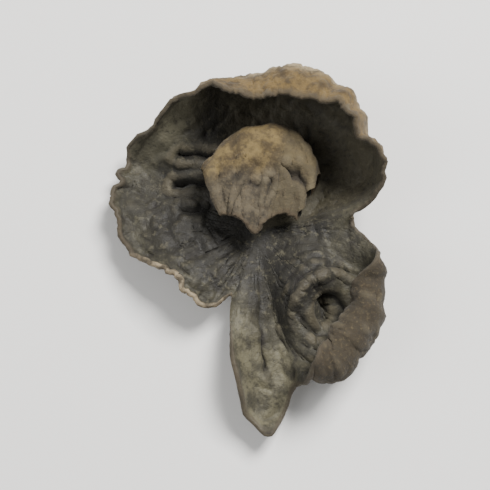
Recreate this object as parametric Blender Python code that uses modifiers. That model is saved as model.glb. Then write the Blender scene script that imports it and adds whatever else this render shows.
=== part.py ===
"""A dried wood ear mushroom lying on its back: one leathery fruit body with a folded inner lobe.

Units are metres with +Z up. Lengths in the tables are millimetres and angles are degrees.
"""
import math

import bmesh
import bpy
import numpy as np
from mathutils import Vector, noise

MM = 0.001
THICKNESS = 0.8
STATIONS = 240

# The hub the ribs leave from, above the middle of the cut base.
HUB = (1.42, 2.84, 3.5)
HUB_RADIUS = 1.4
# The base that held the ear to its wood: distance from the axis and height, from the cut face up.
BASE_PROFILE = (
    (0, 0), (1.6, 0), (3.1, 0), (2.85, 0.5), (2.6, 1.2), (2.6, 2.0), (2.8, 2.7), (2.9, 3.2),
    (2.3, 3.7), (1.8, 4.05), (1.2, 4.2), (0.5, 4.2), (0, 4.15),
)
BASE_SIDES = 24
# How far the base leans from the hub to the cut face.
BASE_LEAN = (2.0, 2.4)

# Ribs of the ear, fanned all the way round the hub. Each rib runs from the hub out to the rim:
# heading, length, crumple, hem roll, twist, climb angle at six even stations.
EAR_RIBS = (
    (5, 11.6, 0.4, 0, 0, (0, 10, 15, 22, 28, 32)),
    (20, 21, 0.3, 0, 0, (0, 0, 8, 32, 70, 82)),
    (45, 28.5, 0.25, 0, 0, (0, 0, 5, 42, 100, 136)),
    (60, 30.5, 0.2, 0, 0, (0, 0, 0, 42, 114, 165)),
    (75, 31, 0.2, 0, 0, (0, 0, 0, 42, 117, 172)),
    (90, 29, 0.2, 0, 0, (0, 0, 0, 42, 112, 162)),
    (106, 25.5, 0.25, 0, 0, (0, 0, 5, 35, 92, 135)),
    (131, 20.5, 0.4, 20, 0, (0, 0, 0, 15, 30, 45)),
    (150, 19.2, 0.5, 40, 0, (0, -5, -5, 0, 10, 10)),
    (166, 18.6, 0.5, 60, 0, (0, -5, 0, 0, -10, -15)),
    (181, 17, 0.5, 100, 0, (0, -5, 5, 0, -15, -25)),
    (204, 13.6, 0.6, 120, 0, (0, 5, 8, 3, -12, -25)),
    (224, 12, 0.6, 110, 0, (0, 6, 10, 10, 5, -10)),
    (241, 10.8, 0.3, 40, 0, (0, 6, 9, 10, 5, 0)),
    (252, 8, 0.2, 0, 0, (0, 5, 8, 9, 8, 5)),
    (261, 17, 0.4, 10, 0, (0, 6, 12, 14, 18, 24)),
    (272, 25, 0.6, 20, 0, (0, 2, 4, -3, -6, -8)),
    (283, 20, 0.3, 0, 0, (0, -4, -8, 8, 12, 16)),
    (293, 28, 0.15, 0, -8, (0, 12, -2, 5, 85, 180)),
    (303, 30.5, 0.2, 30, 5, (0, 30, -22, 5, 105, 210)),
    (315, 29.5, 0.22, 40, 15, (0, 35, -28, 5, 110, 220)),
    (330, 25.5, 0.22, 40, 30, (0, 34, -24, 15, 105, 205)),
    (348, 15.5, 0.3, 0, 0, (0, 22, 5, 15, 35, 55)),
)
# Ribs of the inner lobe, which rises from the ear and folds back over the bowl. The first two
# numbers place the root on the ear: heading, and fraction of the way out.
LOBE_RIBS = (
    (24, 0.24, 66, 13.5, 0.3, 0, -4, (20, 20, 28, 60, 125, 175, 192, 190, 188)),
    (54, 0.16, 76, 20, 0.3, 0, -2, (15, 15, 21, 62, 146, 184, 190, 190, 186)),
    (72, 0.14, 82, 23.2, 0.25, 0, -1, (15, 15, 23, 76, 162, 187, 190, 188, 185)),
    (88, 0.13, 87, 24.5, 0.25, 0, 0, (15, 15, 25, 88, 174, 190, 190, 188, 185)),
    (104, 0.14, 92, 23.2, 0.25, 0, 1, (15, 15, 23, 76, 162, 187, 190, 188, 185)),
    (120, 0.16, 97, 20, 0.3, 0, 2, (15, 15, 21, 62, 146, 184, 190, 190, 186)),
    (148, 0.26, 108, 13.5, 0.3, 0, 4, (20, 20, 28, 60, 125, 175, 192, 190, 188)),
)
# The pucker in the side lobe: where it is on the flattened ear, its depth, and the radii of its pit
# and of the raised ring round it.
PUCKER_HEADING = 310
PUCKER_OUT = 13.8
PUCKER_DEPTH = 2.4
PUCKER_PIT = 2.4
PUCKER_RING = 4.0
EAR_SEED = 1.0
LOBE_SEED = 31.0


def spline(values, at):
    """The smooth curve through rows of values, read at fractional row numbers."""
    values = np.asarray(values, float)
    first = 2 * values[:1] - values[1:2]
    last = 2 * values[-1:] - values[-2:-1]
    rows = np.concatenate([first, values, last])
    row = np.clip(np.floor(at).astype(int), 0, len(values) - 2)
    part = (at - row).reshape(at.shape + (1,) * (values.ndim - 1))
    a, b, c, d = (rows[row + k] for k in range(4))
    return b + 0.5 * part * (c - a + part * (2 * a - 5 * b + 4 * c - d + part * (3 * (b - c) + d - a)))


def noise3(x, y, z):
    """Smooth noise from -1 to 1 at every point of three arrays."""
    return np.vectorize(lambda a, b, c: noise.noise(Vector((a, b, c))))(x, y, z)


def grow(root, heading, length, crumple, hem, twist, climbs, rows, seed):
    """Points of a sheet whose ribs grow from the root, and how far out each row is from 0 to 1."""
    along = (np.arange(STATIONS) + 0.5) / STATIONS
    v, angle = np.meshgrid(np.linspace(0, 1, 25), np.radians(heading), indexing="ij")
    x, y = v * length * np.cos(angle), v * length * np.sin(angle)

    def wobble(size, layer):
        return spline(noise3(x / size, y / size, seed + layer), along * 24) * crumple

    out = along[:, None]
    climb = spline(climbs.T, along * (climbs.shape[1] - 1))
    climb = climb + 70 * out ** 0.8 * wobble(8.5, 0.0) + 45 * out ** 2 * wobble(3.6, 1.0)
    climb = np.radians(climb + hem * np.clip((out - 0.86) / 0.14, 0, 1))
    way = np.radians(heading + 30 * out * wobble(9, 2.0) + twist * out ** 4)
    steps = np.stack([np.cos(climb) * np.cos(way), np.cos(climb) * np.sin(way), np.sin(climb)], -1)
    path = np.cumsum(steps * (length / STATIONS)[None, :, None], axis=0)
    path = np.concatenate([np.zeros((1,) + root.shape), path]) + root
    pick = np.linspace(0, 1, rows)
    pick = np.round((pick + 0.25 * pick * (1 - pick)) * STATIONS).astype(int)
    return path[pick], pick / STATIONS


def normals(points, ring):
    """Unit normals of a sheet. The columns of a ring go right round and meet."""
    across = np.gradient(points, axis=1)
    if ring:
        across = (np.roll(points, -1, axis=1) - np.roll(points, 1, axis=1)) / 2
    n = np.cross(np.gradient(points, axis=0), across)
    return n / np.linalg.norm(n, axis=-1, keepdims=True)


def warp(x, y, seed):
    """A slow drift that bends the dents and the pucker out of round."""
    return noise3(x / 6, y / 6, seed + 21), noise3(x / 6, y / 6, seed + 22)


def dents(v, length, heading, seed):
    """How far each point is pushed along its normal by dents, creases and folds toward the rim."""
    r = v[:, None] * length
    a = np.radians(heading) + 0 * r
    x, y = r * np.cos(a), r * np.sin(a)
    wx, wy = warp(x, y, seed)
    fade = np.clip(2.5 * v, 0, 1)[:, None]
    dent = 0.75 * noise3(x / 3.6 + wx, y / 3.6 + wy, seed + 5) * fade
    crease = 0.6 * (0.35 - 1.6 * np.abs(noise3(x / 6 + wx, y / 6 + wy, seed + 7))) * fade
    fold = 0.5 - 2.2 * np.abs(noise3(5.5 * np.cos(a), 5.5 * np.sin(a), r / 9 + seed))
    return dent + crease + 0.5 * fold * v[:, None]


def pucker(v, length, heading):
    """How far each point is pushed along its normal by the pit in the side lobe and its raised ring."""
    r, a = v[:, None] * length, np.radians(heading)
    x, y = r * np.cos(a), r * np.sin(a)
    wx, wy = warp(x, y, EAR_SEED)
    middle = math.radians(PUCKER_HEADING)
    dx = x - PUCKER_OUT * math.cos(middle) + 1.2 * wx
    dy = y - PUCKER_OUT * math.sin(middle) + 1.2 * wy
    away = np.hypot(dx, dy)
    raised = 0.4 * np.exp(-((away - PUCKER_RING) / 1.5) ** 2)
    return PUCKER_DEPTH * (raised - np.exp(-(away / PUCKER_PIT) ** 2))


def ear_sheet():
    """The ear's middle surface, with the heading of each column and how far out each row is."""
    columns, rows = 4 * len(EAR_RIBS), 19
    table = EAR_RIBS[-2:] + EAR_RIBS + EAR_RIBS[:3]
    heads = [rib[0] for rib in EAR_RIBS]
    heads = [h - 360 for h in heads[-2:]] + heads + [h + 360 for h in heads[:3]]
    at = 2 + np.arange(columns) / 4
    heading = spline(heads, at)
    length, crumple, hem, twist = (spline([rib[k] for rib in table], at) for k in (1, 2, 3, 4))
    climbs = spline([rib[5] for rib in table], at)
    a = np.radians(heading)
    length = length * (1 + 0.15 * crumple * noise3(9 * np.cos(a), 9 * np.sin(a), 3.0 + 0 * a))
    hub_x, hub_y, hub_z = HUB
    root = np.stack([hub_x + HUB_RADIUS * np.cos(a), hub_y + HUB_RADIUS * np.sin(a), hub_z + 0 * a], -1)
    points, v = grow(root, heading, length, crumple, hem, twist, climbs, rows, EAR_SEED)
    push = crumple * dents(v, length, heading, EAR_SEED) + pucker(v, length, heading)
    points = points + normals(points, True) * push[..., None]
    return np.concatenate([points, points[:, :1]], 1), heading, v


def lobe_sheet(ear, ear_heading, ear_v):
    """The inner lobe's middle surface, rooted on the ear's."""
    columns, rows = 3 * (len(LOBE_RIBS) - 1) + 1, 19
    at = np.linspace(0, len(LOBE_RIBS) - 1, columns)
    on, out, heading, length, crumple, hem, twist = (
        spline([rib[k] for rib in LOBE_RIBS], at) for k in range(7)
    )
    climbs = spline([rib[7] for rib in LOBE_RIBS], at)
    column = np.interp(on, ear_heading, np.arange(len(ear_heading)))
    row = np.interp(out, ear_v, np.arange(len(ear_v)))
    root = np.array([spline(spline(ear, np.array([i]))[0], np.array([j]))[0] for i, j in zip(row, column)])
    length = length * (1 + 0.15 * crumple * noise3(heading / 6, 0 * heading, 33.0 + 0 * heading))
    points, v = grow(root, heading, length, crumple, hem, twist, climbs, rows, LOBE_SEED)
    push = crumple * dents(v, length, heading, LOBE_SEED)
    return points + normals(points, False) * push[..., None]


def sheet_object(name, points, collection):
    """A grid bent to the points, with the thickness of the flesh given half to each side."""
    rows, columns, _ = points.shape
    mesh = bpy.data.meshes.new(name)
    bm = bmesh.new()
    bmesh.ops.create_grid(bm, x_segments=columns - 1, y_segments=rows - 1, size=0.5)
    for vert in bm.verts:
        j = round((vert.co.x + 0.5) * (columns - 1))
        i = round((vert.co.y + 0.5) * (rows - 1))
        vert.co = Vector(points[i, j]) * MM
    bmesh.ops.remove_doubles(bm, verts=bm.verts, dist=1e-7)
    bm.to_mesh(mesh)
    bm.free()
    mesh.shade_smooth()
    obj = bpy.data.objects.new(name, mesh)
    collection.objects.link(obj)
    solid = obj.modifiers.new("thickness", "SOLIDIFY")
    solid.thickness = THICKNESS * MM
    solid.offset = 0
    return obj


def base_object(collection):
    """The short fluted base, turned round its axis and closed by the flat cut below."""
    mesh = bpy.data.meshes.new("base")
    bm = bmesh.new()
    profile = [bm.verts.new((x, 0, z)) for x, z in BASE_PROFILE]
    edges = [bm.edges.new(pair) for pair in zip(profile, profile[1:])]
    bmesh.ops.spin(bm, geom=profile + edges, axis=(0, 0, 1), cent=(0, 0, 0),
                   steps=BASE_SIDES, angle=math.tau)
    bmesh.ops.remove_doubles(bm, verts=bm.verts, dist=1e-5)
    bmesh.ops.recalc_face_normals(bm, faces=bm.faces)
    for vert in bm.verts:
        flute = 1 + 0.25 * noise.noise(vert.co * Vector((0.5, 0.5, 0.15)))
        lean = max(0, 1 - vert.co.z / 3)
        vert.co.x = vert.co.x * flute + HUB[0] + BASE_LEAN[0] * lean
        vert.co.y = vert.co.y * flute + HUB[1] + BASE_LEAN[1] * lean
        vert.co *= MM
    bm.to_mesh(mesh)
    bm.free()
    mesh.shade_smooth()
    obj = bpy.data.objects.new("base", mesh)
    collection.objects.link(obj)
    return obj


def leather():
    """The dried flesh: dark brown, matte."""
    material = bpy.data.materials.new("wood_ear_flesh")
    material.use_nodes = True
    shader = material.node_tree.nodes["Principled BSDF"]
    shader.inputs["Base Color"].default_value = (0.115, 0.085, 0.05, 1)
    shader.inputs["Roughness"].default_value = 0.7
    shader.inputs["Metallic"].default_value = 0
    return material


def new_collection(name):
    """A new collection in the scene."""
    made = bpy.data.collections.new(name)
    bpy.context.scene.collection.children.link(made)
    return made


def build():
    """The ear, with the inner lobe and the base joined to it as one body."""
    for obj in list(bpy.data.objects):
        bpy.data.objects.remove(obj)
    kept = new_collection("wood_ear_mushroom")
    joined = new_collection("joined_pieces")
    ear, heading, v = ear_sheet()
    body = sheet_object("wood_ear", ear, kept)
    body.data.materials.append(leather())
    for other in (sheet_object("inner_lobe", lobe_sheet(ear, heading, v), joined), base_object(joined)):
        other.hide_render = True
        other.display_type = "WIRE"
        union = body.modifiers.new(other.name, "BOOLEAN")
        union.operation = "UNION"
        union.solver = "EXACT"
        union.object = other


build()
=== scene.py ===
"""A dried wood ear mushroom on a pale floor: dark puckered inner face, tan felted outer face.

The frame is in metres with +Z up. Lengths in the tables are millimetres and angles are degrees.
"""
import math

import bmesh
import bpy
import numpy as np
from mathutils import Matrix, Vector, noise


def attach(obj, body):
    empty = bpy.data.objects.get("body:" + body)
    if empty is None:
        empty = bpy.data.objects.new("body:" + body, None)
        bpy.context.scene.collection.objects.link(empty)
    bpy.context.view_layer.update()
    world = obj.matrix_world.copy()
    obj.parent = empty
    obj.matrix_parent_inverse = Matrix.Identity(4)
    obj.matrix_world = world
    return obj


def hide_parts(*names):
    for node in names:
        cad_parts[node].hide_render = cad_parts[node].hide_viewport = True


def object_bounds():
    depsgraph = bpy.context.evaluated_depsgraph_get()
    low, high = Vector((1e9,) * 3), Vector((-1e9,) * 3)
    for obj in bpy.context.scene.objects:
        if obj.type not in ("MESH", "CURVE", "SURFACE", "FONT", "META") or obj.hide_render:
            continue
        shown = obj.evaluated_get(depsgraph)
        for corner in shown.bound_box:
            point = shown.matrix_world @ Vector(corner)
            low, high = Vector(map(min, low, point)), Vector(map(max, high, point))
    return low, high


MM = 0.001
# Steps in a rib's length as it is grown, and rows between which its crumpling is read.
STATIONS = 480
WOBBLE_ROWS = 24
# Rows and columns of the meshes.
COLUMNS_A_RIB = 15
EAR_ROWS = 91
LOBE_ROWS = 91
LOBE_COLUMNS = 91
BASE_ROWS = 49
BASE_COLUMNS = 73
# Half the wall by the hub, how much thinner that is at the rim, and the turns that round the rim.
HALF_WALL = 0.5
RIM_THINNING = 0.18
RIM_TURNS = (30, 60, 90, 120, 150)
# How high a ridge or how deep a crease has its full colour in the material.
FULL_RELIEF = 0.3

# The hub the ribs leave from, how far its middle rises, and the rings of points that close it.
HUB = (1.42, 2.84, 3.5)
HUB_RADIUS = 1.4
HUB_RISE = 0.12
HUB_RINGS = (0.02, 0.3, 0.6, 0.85)
# The base as a turned profile of radius and height. Its cut end leans away from under the hub.
BASE_PROFILE = (
    (0, 0), (1.0, 0), (2.2, 0), (2.95, 0), (3.1, 0.12), (2.9, 0.5), (2.65, 1.2), (2.6, 1.8), (2.7, 2.3),
    (3.0, 2.8), (3.6, 3.2), (2.4, 3.5), (0, 3.5),
)
BASE_LEAN = (2.0, 2.4)

# Ribs of the ear, fanned all the way round the hub. Each rib runs from the hub out to the rim:
# heading, length, crumple, hem roll, twist, climb angle at six even stations.
EAR_RIBS = (
    (5, 11.6, 0.4, 0, 0, (0, 10, 15, 22, 28, 32)),
    (20, 21, 0.3, 0, 0, (0, 0, 8, 32, 70, 82)),
    (45, 28.5, 0.25, 0, 0, (0, 0, 5, 42, 100, 136)),
    (60, 30.5, 0.2, 0, 0, (0, 0, 0, 42, 114, 165)),
    (75, 31, 0.2, 0, 0, (0, 0, 0, 42, 117, 172)),
    (90, 29, 0.2, 0, 0, (0, 0, 0, 42, 112, 162)),
    (106, 25.5, 0.25, 0, 0, (0, 0, 5, 35, 92, 135)),
    (131, 20.5, 0.4, 20, 0, (0, 0, 0, 15, 30, 45)),
    (150, 19.2, 0.5, 40, 0, (0, -5, -5, 0, 10, 10)),
    (166, 18.6, 0.5, 60, 0, (0, -5, 0, 0, -10, -15)),
    (181, 17, 0.5, 100, 0, (0, -5, 5, 0, -15, -25)),
    (204, 13.6, 0.6, 120, 0, (0, 5, 8, 3, -12, -25)),
    (224, 12, 0.6, 110, 0, (0, 6, 10, 10, 5, -10)),
    (241, 10.8, 0.3, 40, 0, (0, 6, 9, 10, 5, 0)),
    (252, 8, 0.2, 0, 0, (0, 5, 8, 9, 8, 5)),
    (261, 17, 0.4, 10, 0, (0, 6, 12, 14, 18, 24)),
    (272, 25, 0.6, 20, 0, (0, 2, 4, -3, -6, -8)),
    (283, 20, 0.3, 0, 0, (0, -4, -8, 8, 12, 16)),
    (293, 28, 0.15, 0, -8, (0, 12, -2, 5, 85, 180)),
    (303, 30.5, 0.2, 30, 5, (0, 30, -22, 5, 105, 210)),
    (315, 29.5, 0.22, 40, 15, (0, 35, -28, 5, 110, 220)),
    (330, 25.5, 0.22, 40, 30, (0, 34, -24, 15, 105, 205)),
    (348, 15.5, 0.3, 0, 0, (0, 22, 5, 15, 35, 55)),
)
# Ribs of the inner lobe, which rises from the ear and folds back over the bowl. The first two
# numbers place the root on the ear: heading, and fraction of the way out. Then each rib has its own
# heading, length, crumple, hem roll, twist, and climb angle at nine even stations.
LOBE_RIBS = (
    (24, 0.24, 66, 13.5, 0.3, 0, -4, (20, 20, 28, 60, 125, 175, 192, 190, 188)),
    (54, 0.16, 76, 20, 0.3, 0, -2, (15, 15, 21, 62, 146, 184, 190, 190, 186)),
    (72, 0.14, 82, 23.2, 0.25, 0, -1, (15, 15, 23, 76, 162, 187, 190, 188, 185)),
    (88, 0.13, 87, 24.5, 0.25, 0, 0, (15, 15, 25, 88, 174, 190, 190, 188, 185)),
    (104, 0.14, 92, 23.2, 0.25, 0, 1, (15, 15, 23, 76, 162, 187, 190, 188, 185)),
    (120, 0.16, 97, 20, 0.3, 0, 2, (15, 15, 21, 62, 146, 184, 190, 190, 186)),
    (148, 0.26, 108, 13.5, 0.3, 0, 4, (20, 20, 28, 60, 125, 175, 192, 190, 188)),
)
# Short sharp pleats: both ends across the flattened sheet, depth and half width. A negative depth
# sinks the outer face.
EAR_PLEATS = (
    ((-9.6, 9.4), (-4.4, 8.8), 1.3, 0.45),
    ((-9.8, 5.9), (-4.6, 5.4), 1.4, 0.45),
    ((-8.6, 2.6), (-5.0, 2.4), 0.6, 0.45),
    ((0.2, -6.0), (0.6, -17.0), 0.45, 0.5),
)
LOBE_PLEATS = (
    ((4.6, 9.0), (3.6, 14.2), -0.7, 0.4),
    ((-5.0, 16.2), (1.0, 18.2), -0.25, 0.4),
    ((2.7, 17.4), (2.2, 20.4), -0.6, 0.3),
)
# The pucker in the side lobe: where it is on the flattened ear, its depth, and the radii of its pit
# and of the raised ring round it.
PUCKER_HEADING = 310
PUCKER_OUT = 13.8
PUCKER_DEPTH = 2.4
PUCKER_PIT = 2.4
PUCKER_RING = 4.0
EAR_SEED = 1.0
LOBE_SEED = 31.0

# Stretches of the ear that are coloured apart, painted shade and painted light among them: first heading,
# last heading, softness.
# The hollow under the brow, given painted shade: a flat colour matched to how that shaded hollow looks.
SHADED_UNDER_BROW = (12, 104, 10)
BROW = (30, 122, 8)
# The upper-left inner wall, which lies in shade, given painted light.
PAINTED_LIGHT_WALL = (112, 142, 8)
# The bowl by the pleats beside the folded lobe, given painted shade near black.
SHADE_BY_PLEATS = (122, 214, 12)
# The lower-left hem, showing the pale outer side and painted brighter as a highlight.
PALE_HEM_AND_HIGHLIGHT = (196, 250, 12)
TAIL = (258, 284, 4)
CURL_INSIDE = (288, 350, 6)
CURL_OUTSIDE = (288, 345, 8)

# Colours of the whole mushroom.
# Painted shade in the creases.
CREASE_SHADE = (0.008, 0.006, 0.005, 1)
# Painted highlight on the high ridges.
RIDGE_HIGHLIGHT = (0.140, 0.118, 0.074, 1)
INNER_FLECK = (0.090, 0.081, 0.052, 1)
INNER_SPECK = (0.012, 0.010, 0.008, 1)
FELT_SPECK = (0.040, 0.029, 0.017, 1)
FELT_DOWN = (0.210, 0.162, 0.090, 1)
# Colours of the ear and the base. A pair is the two ends of a mottle.
PITH = ((0.070, 0.050, 0.030, 1), (0.190, 0.145, 0.085, 1))
EAR_RIM = (0.050, 0.040, 0.026, 1)
# The hem's own tan, painted brighter as a highlight.
PALE_RIM_AND_HIGHLIGHT = (0.300, 0.240, 0.155, 1)
DEEP_BOWL = ((0.008, 0.007, 0.005, 1), (0.020, 0.018, 0.012, 1))
PALE_BOWL = ((0.046, 0.042, 0.027, 1), (0.020, 0.018, 0.012, 1))
# Painted shade, near black, for the bowl by the pleats.
SHADE_BY_PLEATS_COLOUR = (0.007, 0.006, 0.004, 1)
# Painted shade: a flat colour for the hollow under the brow.
SHADE_UNDER_BROW = (0.062, 0.054, 0.033, 1)
# Painted light on the shaded upper-left inner wall.
PAINTED_LIGHT_COLOUR = (0.120, 0.111, 0.073, 1)
TAIL_INSIDE = ((0.118, 0.107, 0.066, 1), (0.042, 0.038, 0.024, 1))
EAR_FELT = ((0.098, 0.074, 0.039, 1), (0.040, 0.031, 0.019, 1))
BROW_FELT = ((0.118, 0.076, 0.025, 1), (0.044, 0.029, 0.012, 1))
# Painted highlight along the brow's crest.
CREST_HIGHLIGHT = (0.260, 0.212, 0.128, 1)
CURL_FELT = (0.022, 0.018, 0.012, 1)
# Colours of the inner lobe.
LOBE_RIM = (0.060, 0.044, 0.026, 1)
LOBE_INSIDE = (0.013, 0.011, 0.008, 1)
LOBE_GOLD = ((0.140, 0.100, 0.040, 1), (0.055, 0.039, 0.018, 1))
LOBE_GREY = ((0.078, 0.064, 0.042, 1), (0.028, 0.023, 0.016, 1))
LOBE_RUSSET = (0.082, 0.044, 0.028, 1)
LOBE_SIDE = (0.062, 0.050, 0.028, 1)

# The floor and the studio: metres, watts, degrees, and millimetres of lens.
FLOOR_SIZE = 1.5
FLOOR_COLOUR = (0.78, 0.775, 0.76, 1)
FLOOR_ROUGHNESS = 0.9
WORLD_STRENGTH = 0.35
KEY_PLACE, KEY_SIZE, KEY_POWER, KEY_COLOUR = (0.15, 0.19, 0.35), 0.16, 4.2, (1, 0.985, 0.96)
FILL_PLACE, FILL_SIZE, FILL_POWER, FILL_COLOUR = (-0.30, -0.06, 0.28), 0.30, 0.9, (1, 1, 1)
CAMERA_LENS = 85
CAMERA_RAISED = 78
CAMERA_DISTANCE = 0.148
CAMERA_CLIP = 0.005


def spline(values, at):
    """The smooth curve through rows of values, read at fractional row numbers."""
    values = np.asarray(values, float)
    first = 2 * values[:1] - values[1:2]
    last = 2 * values[-1:] - values[-2:-1]
    rows = np.concatenate([first, values, last])
    row = np.clip(np.floor(at).astype(int), 0, len(values) - 2)
    part = (at - row).reshape(at.shape + (1,) * (values.ndim - 1))
    a, b, c, d = (rows[row + k] for k in range(4))
    return b + 0.5 * part * (c - a + part * (2 * a - 5 * b + 4 * c - d + part * (3 * (b - c) + d - a)))


def noise3(x, y, z):
    """Smooth noise from -1 to 1 at every point of three arrays."""
    return np.vectorize(lambda a, b, c: noise.noise(Vector((a, b, c))))(x, y, z)


def smooth_step(low, high, x):
    """0 below the low value, 1 above the high one, and a smooth rise between them."""
    t = np.clip((x - low) / (high - low), 0, 1)
    return t * t * (3 - 2 * t)


def grow(root, heading, length, crumple, hem, twist, climbs, rows, seed):
    """Points of a sheet whose ribs grow from the root, and how far out each row is, from 0 to 1."""
    along = (np.arange(STATIONS) + 0.5) / STATIONS
    v, angle = np.meshgrid(np.linspace(0, 1, WOBBLE_ROWS + 1), np.radians(heading), indexing="ij")
    x, y = v * length * np.cos(angle), v * length * np.sin(angle)

    def wobble(size, layer):
        """Crumpling of one size, at every station of every rib."""
        return spline(noise3(x / size, y / size, seed + layer), along * WOBBLE_ROWS) * crumple

    out = along[:, None]
    climb = spline(climbs.T, along * (climbs.shape[1] - 1))
    climb = climb + 70 * out ** 0.8 * wobble(8.5, 0.0) + 45 * out ** 2 * wobble(3.6, 1.0)
    climb = np.radians(climb + hem * np.clip((out - 0.86) / 0.14, 0, 1))
    way = np.radians(heading + 30 * out * wobble(9, 2.0) + twist * out ** 4)
    steps = np.stack([np.cos(climb) * np.cos(way), np.cos(climb) * np.sin(way), np.sin(climb)], -1)
    path = np.cumsum(steps * (length / STATIONS)[None, :, None], axis=0)
    path = np.concatenate([np.zeros((1,) + root.shape), path]) + root
    pick = np.linspace(0, 1, rows)
    pick = np.round((pick + 0.25 * pick * (1 - pick)) * STATIONS).astype(int)
    return path[pick], pick / STATIONS


def normals(points, ring):
    """Unit normals of a sheet. The columns of a ring go right round and meet."""
    across = np.gradient(points, axis=1)
    if ring:
        across = (np.roll(points, -1, axis=1) - np.roll(points, 1, axis=1)) / 2
    n = np.cross(np.gradient(points, axis=0), across)
    return n / np.linalg.norm(n, axis=-1, keepdims=True)


class Flat:
    """A sheet pressed flat: where each of its points lies, and the noise that marks are made from."""

    def __init__(self, v, length, heading, seed):
        self.v = v[:, None]
        self.r = self.v * length
        self.a = np.radians(heading) + 0 * self.r
        self.x, self.y = self.r * np.cos(self.a), self.r * np.sin(self.a)
        self.seed = seed

    def drift(self, size, layer):
        """A slow wander along x and y that bends marks out of line."""
        x, y = self.x / size, self.y / size
        return noise3(x, y, self.seed + layer), noise3(x, y, self.seed + layer + 1)

    def ridges(self, size, drift, layer):
        """0 along sharp creases, up to about 1 on the swells between them."""
        x, y = self.x / size + drift[0], self.y / size + drift[1]
        return np.abs(noise3(x, y, self.seed + layer))

    def fans(self, count, size):
        """The same for creases that run out toward the rim."""
        return np.abs(noise3(count * np.cos(self.a), count * np.sin(self.a), self.r / size + self.seed))


def dents(flat):
    """How far each point is pushed along its normal by dents, creases and folds toward the rim."""
    drift = flat.drift(6, 21)
    fade = np.clip(2.5 * flat.v, 0, 1)
    dent = 0.75 * noise3(flat.x / 3.6 + drift[0], flat.y / 3.6 + drift[1], flat.seed + 5) * fade
    crease = 0.6 * (0.35 - 1.6 * flat.ridges(6, drift, 7)) * fade
    return dent + crease + 0.5 * (0.5 - 2.2 * flat.fans(5.5, 9)) * flat.v


def from_pucker(flat):
    """Steps across the flattened ear from the middle of the pucker."""
    middle = math.radians(PUCKER_HEADING)
    return flat.x - PUCKER_OUT * math.cos(middle), flat.y - PUCKER_OUT * math.sin(middle)


def pucker(flat):
    """How far each point is pushed along its normal by the pit in the side lobe and its raised ring."""
    drift = flat.drift(6, 21)
    dx, dy = from_pucker(flat)
    away = np.hypot(dx + 1.2 * drift[0], dy + 1.2 * drift[1])
    raised = 0.4 * np.exp(-((away - PUCKER_RING) / 1.5) ** 2)
    return PUCKER_DEPTH * (raised - np.exp(-(away / PUCKER_PIT) ** 2))


def swirl(flat):
    """Low rings that wind round the pucker."""
    dx, dy = from_pucker(flat)
    away = np.hypot(dx, dy)
    wave = np.cos(2 * math.pi * away / 1.7 + np.arctan2(dy, dx) + 1.5 * flat.drift(3, 31)[0])
    return 0.26 * wave * smooth_step(0.5, 2.0, away) * (1 - smooth_step(5.0, 8.5, away))


def wrinkles(flat):
    """Fine creases over the whole sheet: a shrunken network, fans toward the rim, and small pimples."""
    drift = flat.drift(3, 31)
    network = 0.21 * (0.4 - 2 * flat.ridges(1.9, drift, 35))
    fan = 0.10 * (0.4 - 2 * flat.fans(14, 5))
    pimple = 0.10 * noise3(flat.x / 0.8 + drift[0], flat.y / 0.8 + drift[1], flat.seed + 37)
    return (network + fan + pimple) * smooth_step(0.02, 0.25, flat.v)


def pleats(flat, table):
    """Short sharp folds, each with a low swell beside it."""
    drift = flat.drift(3, 31)
    x, y = flat.x + 0.5 * drift[0], flat.y + 0.5 * drift[1]
    push = 0 * x
    for start, end, depth, wide in table:
        run = np.subtract(end, start)
        t = np.clip(((x - start[0]) * run[0] + (y - start[1]) * run[1]) / (run @ run), 0, 1)
        away = np.hypot(x - start[0] - t * run[0], y - start[1] - t * run[1]) / wide
        push = push - depth * np.exp(-away ** 2) + 0.25 * depth * np.exp(-(away - 2.2) ** 2)
    return push


def ear_sheet(rows):
    """The ear's middle surface, the fine relief on it, the heading of each column and each row's place."""
    table = EAR_RIBS[-2:] + EAR_RIBS + EAR_RIBS[:3]
    heads = [rib[0] for rib in EAR_RIBS]
    heads = [h - 360 for h in heads[-2:]] + heads + [h + 360 for h in heads[:3]]
    at = 2 + np.arange(COLUMNS_A_RIB * len(EAR_RIBS)) / COLUMNS_A_RIB
    heading = spline(heads, at)
    length, crumple, hem, twist = (spline([rib[k] for rib in table], at) for k in (1, 2, 3, 4))
    climbs = spline([rib[5] for rib in table], at)
    a = np.radians(heading)
    length = length * (1 + 0.15 * crumple * noise3(9 * np.cos(a), 9 * np.sin(a), 3.0 + 0 * a))
    length = length * (1 + 0.012 * noise3(34 * np.cos(a), 34 * np.sin(a), 8.0 + 0 * a))
    hub_x, hub_y, hub_z = HUB
    root = np.stack([hub_x + HUB_RADIUS * np.cos(a), hub_y + HUB_RADIUS * np.sin(a), hub_z + 0 * a], -1)
    points, v = grow(root, heading, length, crumple, hem, twist, climbs, rows, EAR_SEED)
    flat = Flat(v, length, heading, EAR_SEED)
    push = crumple * dents(flat) + pucker(flat)
    points = points + normals(points, True) * push[..., None]
    # Where the rim turns sharply in toward the hub the flesh is stretched, and its creases are shallow.
    stretch = smooth_step(0.3, 0.75, np.abs(np.gradient(length, heading)))
    relief = (wrinkles(flat) + swirl(flat) + pleats(flat, EAR_PLEATS)) * (1 - 0.85 * stretch)
    return points + normals(points, True) * relief[..., None], relief, heading, v


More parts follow.
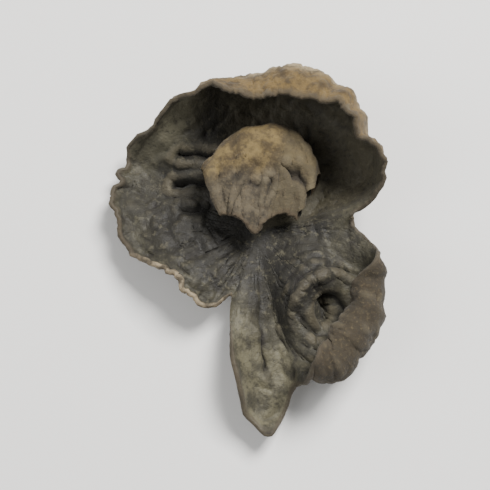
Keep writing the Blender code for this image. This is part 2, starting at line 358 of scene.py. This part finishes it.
def lobe_sheet(ear, ear_heading, ear_v, columns, rows):
    """The inner lobe's middle surface, rooted on the ear's, the relief on it and each row's place."""
    at = np.linspace(0, len(LOBE_RIBS) - 1, columns)
    on, out, heading, length, crumple, hem, twist = (
        spline([rib[k] for rib in LOBE_RIBS], at) for k in range(7)
    )
    climbs = spline([rib[7] for rib in LOBE_RIBS], at)
    column = np.interp(on, ear_heading, np.arange(len(ear_heading)))
    row = np.interp(out, ear_v, np.arange(len(ear_v)))
    root = np.array([spline(spline(ear, np.array([i]))[0], np.array([j]))[0] for i, j in zip(row, column)])
    length = length * (1 + 0.15 * crumple * noise3(heading / 6, 0 * heading, 33.0 + 0 * heading))
    points, v = grow(root, heading, length, crumple, hem, twist, climbs, rows, LOBE_SEED)
    flat = Flat(v, length, heading, LOBE_SEED)
    points = points + normals(points, False) * (crumple * dents(flat))[..., None]
    relief = wrinkles(flat) + pleats(flat, LOBE_PLEATS)
    return points + normals(points, False) * relief[..., None], relief, v


def close_hub(ring):
    """Rows from the middle of the hub out to the first ring of the ear, so that the skin is whole there."""
    centre = ring.mean(0) + np.array([0, 0, HUB_RISE])
    return centre + (ring - centre) * np.array(HUB_RINGS)[:, None, None]


def thicken(points, v, ring):
    """Both faces of the sheet and a rounded rim between them, as one grid of rows.

    Returns the points, how far out each is, and 1 for the inner face to 0 for the outer one.
    """
    n = normals(points, ring)
    edge = points[-1] - points[-2]
    edge = edge / np.linalg.norm(edge, axis=-1, keepdims=True)
    half = (HALF_WALL - RIM_THINNING * smooth_step(0.3, 1, v))[:, None, None]
    turns = np.radians(np.array(RIM_TURNS))[:, None, None]
    rim = points[-1] + half[-1] * (np.cos(turns) * n[-1] + 0.9 * np.sin(turns) * edge)
    both = np.concatenate([points + half * n, rim, (points - half * n)[::-1]])
    out = np.r_[v, np.ones(len(RIM_TURNS)), v[::-1]]
    inner = np.r_[np.ones(len(v)), np.linspace(0.85, 0.15, len(RIM_TURNS)), np.zeros(len(v))]
    return both, out, inner


def grid_object(name, points, values):
    """A grid mesh with its vertices at the points, and one number a vertex for each field."""
    rows, columns, _ = points.shape
    mesh = bpy.data.meshes.new(name)
    bm = bmesh.new()
    bmesh.ops.create_grid(bm, x_segments=columns - 1, y_segments=rows - 1, size=0.5)
    layers = [bm.verts.layers.float.new(field) for field in values]
    for vert in bm.verts:
        j = round((vert.co.x + 0.5) * (columns - 1))
        i = round((vert.co.y + 0.5) * (rows - 1))
        vert.co = Vector(points[i, j]) * MM
        for layer, table in zip(layers, values.values()):
            vert[layer] = table[i, j]
    bmesh.ops.remove_doubles(bm, verts=bm.verts, dist=1e-7)
    bm.to_mesh(mesh)
    bm.free()
    mesh.shade_smooth()
    obj = bpy.data.objects.new(name, mesh)
    bpy.context.scene.collection.objects.link(obj)
    return obj


def fields(points, out, inner, heading, relief):
    """What the material reads at each vertex: place on the sheet, face, heading and fine relief."""
    shape = points.shape[:2]
    rim = np.zeros((shape[0] - 2 * len(relief), shape[1]))
    relief = np.concatenate([relief, rim, -relief[::-1]])
    return {
        "out": np.broadcast_to(out[:, None], shape),
        "inner": np.broadcast_to(inner[:, None], shape),
        "across": np.broadcast_to(heading[None, :], shape),
        "relief": np.clip(relief / FULL_RELIEF, -1, 1),
    }


def ear_object(sheet, relief, heading, v):
    """The ear's body, closed at the hub and joined where the last column meets the first."""
    points = np.concatenate([close_hub(sheet[0]), sheet])
    relief = np.concatenate([np.zeros((len(HUB_RINGS), relief.shape[1])), relief])
    both, out, inner = thicken(points, np.r_[np.zeros(len(HUB_RINGS)), v], True)
    both, relief = (np.concatenate([table, table[:, :1]], 1) for table in (both, relief))
    heading = np.r_[heading, heading[0] + 360]
    return grid_object("wood_ear_body", both, fields(both, out, inner, heading, relief))


def lobe_object(sheet, heading, v):
    """The inner lobe. Its heading field runs from 0 to 1 across it."""
    points, relief, out = lobe_sheet(sheet, heading, v, LOBE_COLUMNS, LOBE_ROWS)
    both, out, inner = thicken(points, out, False)
    across = np.linspace(0, 1, LOBE_COLUMNS)
    return grid_object("wood_ear_lobe", both, fields(both, out, inner, across, relief))


def base_object():
    """The short fluted base with the flat cut below."""
    turn = np.radians(np.linspace(0, 360, BASE_COLUMNS))
    at = np.linspace(0, len(BASE_PROFILE) - 1, BASE_ROWS)
    r, z = np.array([np.interp(at, np.arange(len(BASE_PROFILE)), c) for c in zip(*BASE_PROFILE)])
    x, y = r[:, None] * np.cos(turn), r[:, None] * np.sin(turn)
    height = z[:, None] + 0 * x
    flute = 1 + 0.25 * noise3(x * 0.5, y * 0.5, height * 0.15)
    ribs = noise3(5 * np.cos(turn) + 0 * x, 5 * np.sin(turn) + 0 * x, height * 0.5)
    flute = flute + 0.05 * smooth_step(0.0, 0.5, height) * ribs
    lean = np.clip(1 - height / 3, 0, 1)
    x = x * flute + HUB[0] + BASE_LEAN[0] * lean
    y = y * flute + HUB[1] + BASE_LEAN[1] * lean
    points = np.stack([x, y, height], -1)
    none = np.zeros(BASE_ROWS)
    values = fields(points, none, none, np.degrees(turn), np.zeros((BASE_ROWS // 2, BASE_COLUMNS)))
    return grid_object("wood_ear_base", points, values)


class Nodes:
    """Short helpers for one material's node tree."""

    def __init__(self, material):
        material.use_nodes = True
        self.tree = material.node_tree
        self.shader = self.tree.nodes["Principled BSDF"]

    def node(self, kind, inputs=None, **settings):
        """A new node. An input is a socket to link from, or a plain value."""
        made = self.tree.nodes.new(kind)
        for key, value in settings.items():
            setattr(made, key, value)
        for key, value in (inputs or {}).items():
            if isinstance(value, bpy.types.NodeSocket):
                self.tree.links.new(value, made.inputs[key])
            else:
                made.inputs[key].default_value = value
        return made

    def attribute(self, name):
        """One of the numbers stored at the vertices."""
        return self.node("ShaderNodeAttribute", attribute_name=name).outputs["Fac"]

    def math(self, operation, a, b, c=0.0):
        """Arithmetic on two or three values."""
        return self.node("ShaderNodeMath", {0: a, 1: b, 2: c}, operation=operation).outputs[0]

    def between(self, value, low, high, soft):
        """1 between two values and 0 outside them, with soft ends."""
        rise = self.ramp(value, low - soft, low + soft)
        return self.math("MULTIPLY", rise, self.ramp(value, high - soft, high + soft, 1.0, 0.0))

    def ramp(self, value, low, high, to_low=0.0, to_high=1.0):
        """A smooth change from one value to another as the given one goes from low to high."""
        made = self.node("ShaderNodeMapRange", {"Value": value, "From Min": low, "From Max": high,
                                                 "To Min": to_low, "To Max": to_high},
                         interpolation_type="SMOOTHSTEP")
        return made.outputs["Result"]

    def mix(self, factor, a, b):
        """One colour laid over another."""
        return self.node("ShaderNodeMix", {0: factor, 6: a, 7: b}, data_type="RGBA").outputs[2]

    def noise(self, vector, scale, detail, roughness=0.55):
        """Cloudy noise with so many marks a metre."""
        made = self.node("ShaderNodeTexNoise", {"Vector": vector, "Scale": scale, "Detail": detail,
                                                 "Roughness": roughness})
        return made.outputs["Fac"]


def flesh_material(name, lobe):
    """Dried flesh: a dark leathery inner face, a tan felted outer one, painted highlight on ridges, painted
    shade in creases.
    """
    material = bpy.data.materials.new(name)
    n = Nodes(material)
    place = n.node("ShaderNodeTexCoord").outputs["Object"]
    inner, out, across, relief = (n.attribute(k) for k in ("inner", "out", "across", "relief"))
    broad = n.noise(place, 150, 3)
    patch = n.noise(place, 480, 5, 0.62)
    fleck = n.noise(place, 1150, 3, 0.7)
    grain = n.noise(place, 2600, 3, 0.6)
    if lobe:
        inside, felt = lobe_colours(n, out, across, patch)
        edge = LOBE_RIM
    else:
        inside, felt = ear_colours(n, out, across, broad, patch)
        height = n.node("ShaderNodeSeparateXYZ", {"Vector": place}).outputs["Z"]
        pith = n.mix(n.ramp(fleck, 0.40, 0.60), *PITH)
        felt = n.mix(n.ramp(height, 0.0001, 0.0004, 1.0, 0.0), felt, pith)
        # The lower-left hem shows the pale outer side, painted brighter there as a highlight.
        hem = n.math("MULTIPLY", n.between(across, *PALE_HEM_AND_HIGHLIGHT), n.ramp(patch, 0.62, 0.42))
        edge = n.mix(hem, EAR_RIM, PALE_RIM_AND_HIGHLIGHT)
    inside = n.mix(n.ramp(fleck, 0.52, 0.70, 0.0, 0.55), inside, INNER_FLECK)
    inside = n.mix(n.ramp(fleck, 0.30, 0.46, 0.6, 0.0), inside, INNER_SPECK)
    felt = n.mix(n.ramp(fleck, 0.30, 0.47, 0.6, 0.0), felt, FELT_SPECK)
    felt = n.mix(n.ramp(grain, 0.50, 0.80, 0.0, 0.3), felt, FELT_DOWN)
    colour = n.mix(n.ramp(inner, 0.1, 0.9), felt, inside)
    colour = n.mix(n.ramp(out, 0.965, 1.0, 0.0, 0.75), colour, edge)
    # Painted shade darkens the creases.
    colour = n.mix(n.ramp(relief, -1.0, -0.1, 0.75, 0.0), colour, CREASE_SHADE)
    # A painted highlight lightens the high ridges.
    colour = n.mix(n.ramp(relief, 0.15, 1.0, 0.0, 0.28), colour, RIDGE_HIGHLIGHT)
    if not lobe:
        # Painted shade: the bowl by the pleats, beside the folded lobe, is painted near black over ridges
        # and flecks too.
        pleat_shade = n.math("MULTIPLY", n.between(across, *SHADE_BY_PLEATS), n.ramp(out, 0.46, 0.66, 0.72, 0.0))
        colour = n.mix(n.math("MULTIPLY", pleat_shade, inner), colour, SHADE_BY_PLEATS_COLOUR)
    n.tree.links.new(colour, n.shader.inputs["Base Color"])
    leathery = n.ramp(patch, 0.3, 0.7, 0.54, 0.74)
    felted = n.ramp(grain, 0.3, 0.7, 0.82, 0.96)
    rough = n.node("ShaderNodeMix", {0: inner, 2: felted, 3: leathery}).outputs[0]
    n.tree.links.new(rough, n.shader.inputs["Roughness"])
    fine = n.math("MULTIPLY_ADD", grain, 0.35, n.math("MULTIPLY_ADD", fleck, 0.6, patch))
    bump = n.node("ShaderNodeBump", {"Height": fine, "Strength": 0.6, "Distance": 0.0004})
    n.tree.links.new(bump.outputs["Normal"], n.shader.inputs["Normal"])
    n.shader.inputs["Specular IOR Level"].default_value = 0.32
    n.shader.inputs["Sheen Weight"].default_value = 0.04
    n.shader.inputs["Sheen Roughness"].default_value = 0.6
    return material


def ear_colours(n, out, across, broad, patch):
    """The ear's inner face, near black in the bowl, and its ochre felt with a painted highlight on the
    brow's crest.
    """
    deep = n.mix(n.ramp(patch, 0.35, 0.70), *DEEP_BOWL)
    pale = n.mix(n.ramp(patch, 0.38, 0.62), *PALE_BOWL)
    reach = n.math("MULTIPLY_ADD", broad, 0.5, out)
    reach = n.math("MULTIPLY_ADD", n.between(across, *CURL_INSIDE), 0.3, reach)
    inside = n.mix(n.ramp(reach, 0.88, 1.16), deep, pale)
    # Painted shade: the hollow under the brow gets a flat colour of its own.
    inside = n.mix(n.math("MULTIPLY", n.between(across, *SHADED_UNDER_BROW), 0.8), inside, SHADE_UNDER_BROW)
    # Painted light: the upper-left inner wall, in shade, is painted paler.
    painted_light = n.math("MULTIPLY", n.between(across, *PAINTED_LIGHT_WALL), n.ramp(out, 0.62, 0.88, 0.0, 0.75))
    inside = n.mix(painted_light, inside, PAINTED_LIGHT_COLOUR)
    tail = n.math("MULTIPLY", n.between(across, *TAIL), n.ramp(out, 0.3, 0.7, 0.0, 0.8))
    inside = n.mix(tail, inside, n.mix(n.ramp(patch, 0.40, 0.60), *TAIL_INSIDE))
    felt = n.mix(n.ramp(patch, 0.40, 0.68), *EAR_FELT)
    brow = n.between(across, *BROW)
    gold = n.mix(n.ramp(patch, 0.42, 0.66), *BROW_FELT)
    felt = n.mix(n.math("MULTIPLY", brow, n.ramp(out, 0.70, 0.82, 0.0, 0.9)), felt, gold)
    # Painted highlight: a pale band along the brow's crest, where it catches the light.
    crest = n.math("MULTIPLY", n.ramp(out, 0.74, 0.80), n.ramp(out, 0.81, 0.88, 1.0, 0.0))
    crest = n.math("MULTIPLY", crest, n.math("MULTIPLY", brow, n.ramp(patch, 0.62, 0.40, 0.1, 0.75)))
    felt = n.mix(crest, felt, CREST_HIGHLIGHT)
    curl = n.math("MULTIPLY", n.between(across, *CURL_OUTSIDE), n.ramp(out, 0.3, 0.6, 0.0, 0.85))
    return inside, n.mix(curl, felt, CURL_FELT)


def lobe_colours(n, out, across, patch):
    """The inner lobe: dark below, its upper side golden by the fold and grey-brown toward the tip."""
    gold = n.mix(n.ramp(patch, 0.40, 0.62), *LOBE_GOLD)
    grey = n.mix(n.ramp(patch, 0.40, 0.65), *LOBE_GREY)
    felt = n.mix(n.ramp(out, 0.62, 0.74), gold, grey)
    felt = n.mix(n.ramp(out, 0.34, 0.42, 0.85, 0.0), felt, LOBE_RUSSET)
    felt = n.mix(n.ramp(across, 0.20, 0.34, 0.75, 0.0), felt, LOBE_SIDE)
    return LOBE_INSIDE, felt


def floor():
    """A plain pale floor, level with the cut of the base."""
    mesh = bpy.data.meshes.new("floor")
    bm = bmesh.new()
    bmesh.ops.create_grid(bm, x_segments=1, y_segments=1, size=FLOOR_SIZE)
    bm.to_mesh(mesh)
    bm.free()
    material = bpy.data.materials.new("floor")
    material.use_nodes = True
    shader = material.node_tree.nodes["Principled BSDF"]
    shader.inputs["Base Color"].default_value = FLOOR_COLOUR
    shader.inputs["Roughness"].default_value = FLOOR_ROUGHNESS
    mesh.materials.append(material)
    obj = bpy.data.objects.new("floor", mesh)
    bpy.context.scene.collection.objects.link(obj)


def aim(obj, target):
    """Turns a light or a camera to face a point."""
    obj.rotation_euler = (Vector(target) - obj.location).to_track_quat("-Z", "Y").to_euler()


def area_light(name, place, size, power, colour):
    """A square soft light that faces the middle of the floor."""
    data = bpy.data.lights.new(name, "AREA")
    data.size = size
    data.energy = power
    data.color = colour
    obj = bpy.data.objects.new(name, data)
    obj.location = place
    bpy.context.scene.collection.objects.link(obj)
    aim(obj, (0, 0, 0))


def studio():
    """An even white world, a key light from behind on the right and a weak fill from the left."""
    world = bpy.data.worlds.new("studio")
    world.use_nodes = True
    world.node_tree.nodes["Background"].inputs["Color"].default_value = (1, 1, 1, 1)
    world.node_tree.nodes["Background"].inputs["Strength"].default_value = WORLD_STRENGTH
    bpy.context.scene.world = world
    area_light("key", KEY_PLACE, KEY_SIZE, KEY_POWER, KEY_COLOUR)
    area_light("fill", FILL_PLACE, FILL_SIZE, FILL_POWER, FILL_COLOUR)


def camera(low, high):
    """A long lens that looks steeply down at the middle of the box between two corners."""
    data = bpy.data.cameras.new("camera")
    data.lens = CAMERA_LENS
    obj = bpy.data.objects.new("camera", data)
    bpy.context.scene.collection.objects.link(obj)
    middle = (Vector(low) + Vector(high)) / 2
    raised = math.radians(CAMERA_RAISED)
    obj.location = middle + CAMERA_DISTANCE * Vector((0, -math.cos(raised), math.sin(raised)))
    aim(obj, middle)
    data.clip_start = CAMERA_CLIP
    bpy.context.scene.camera = obj


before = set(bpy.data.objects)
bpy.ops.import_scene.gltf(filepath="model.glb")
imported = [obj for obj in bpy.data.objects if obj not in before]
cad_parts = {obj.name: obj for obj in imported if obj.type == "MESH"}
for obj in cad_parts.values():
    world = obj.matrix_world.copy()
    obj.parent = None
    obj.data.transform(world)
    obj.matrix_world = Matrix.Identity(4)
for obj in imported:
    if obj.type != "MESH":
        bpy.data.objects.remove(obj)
cad_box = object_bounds()
sheet, relief, heading, v = ear_sheet(EAR_ROWS)
pieces = [ear_object(sheet, relief, heading, v), lobe_object(sheet, heading, v), base_object()]
flesh = flesh_material("wood_ear_flesh", False)
inner_flesh = flesh_material("wood_ear_lobe_flesh", True)
for piece in pieces:
    piece.data.materials.append(inner_flesh if piece.name == "wood_ear_lobe" else flesh)
    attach(piece, "root")
    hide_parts("wood_ear")
floor()
studio()
camera(*cad_box)
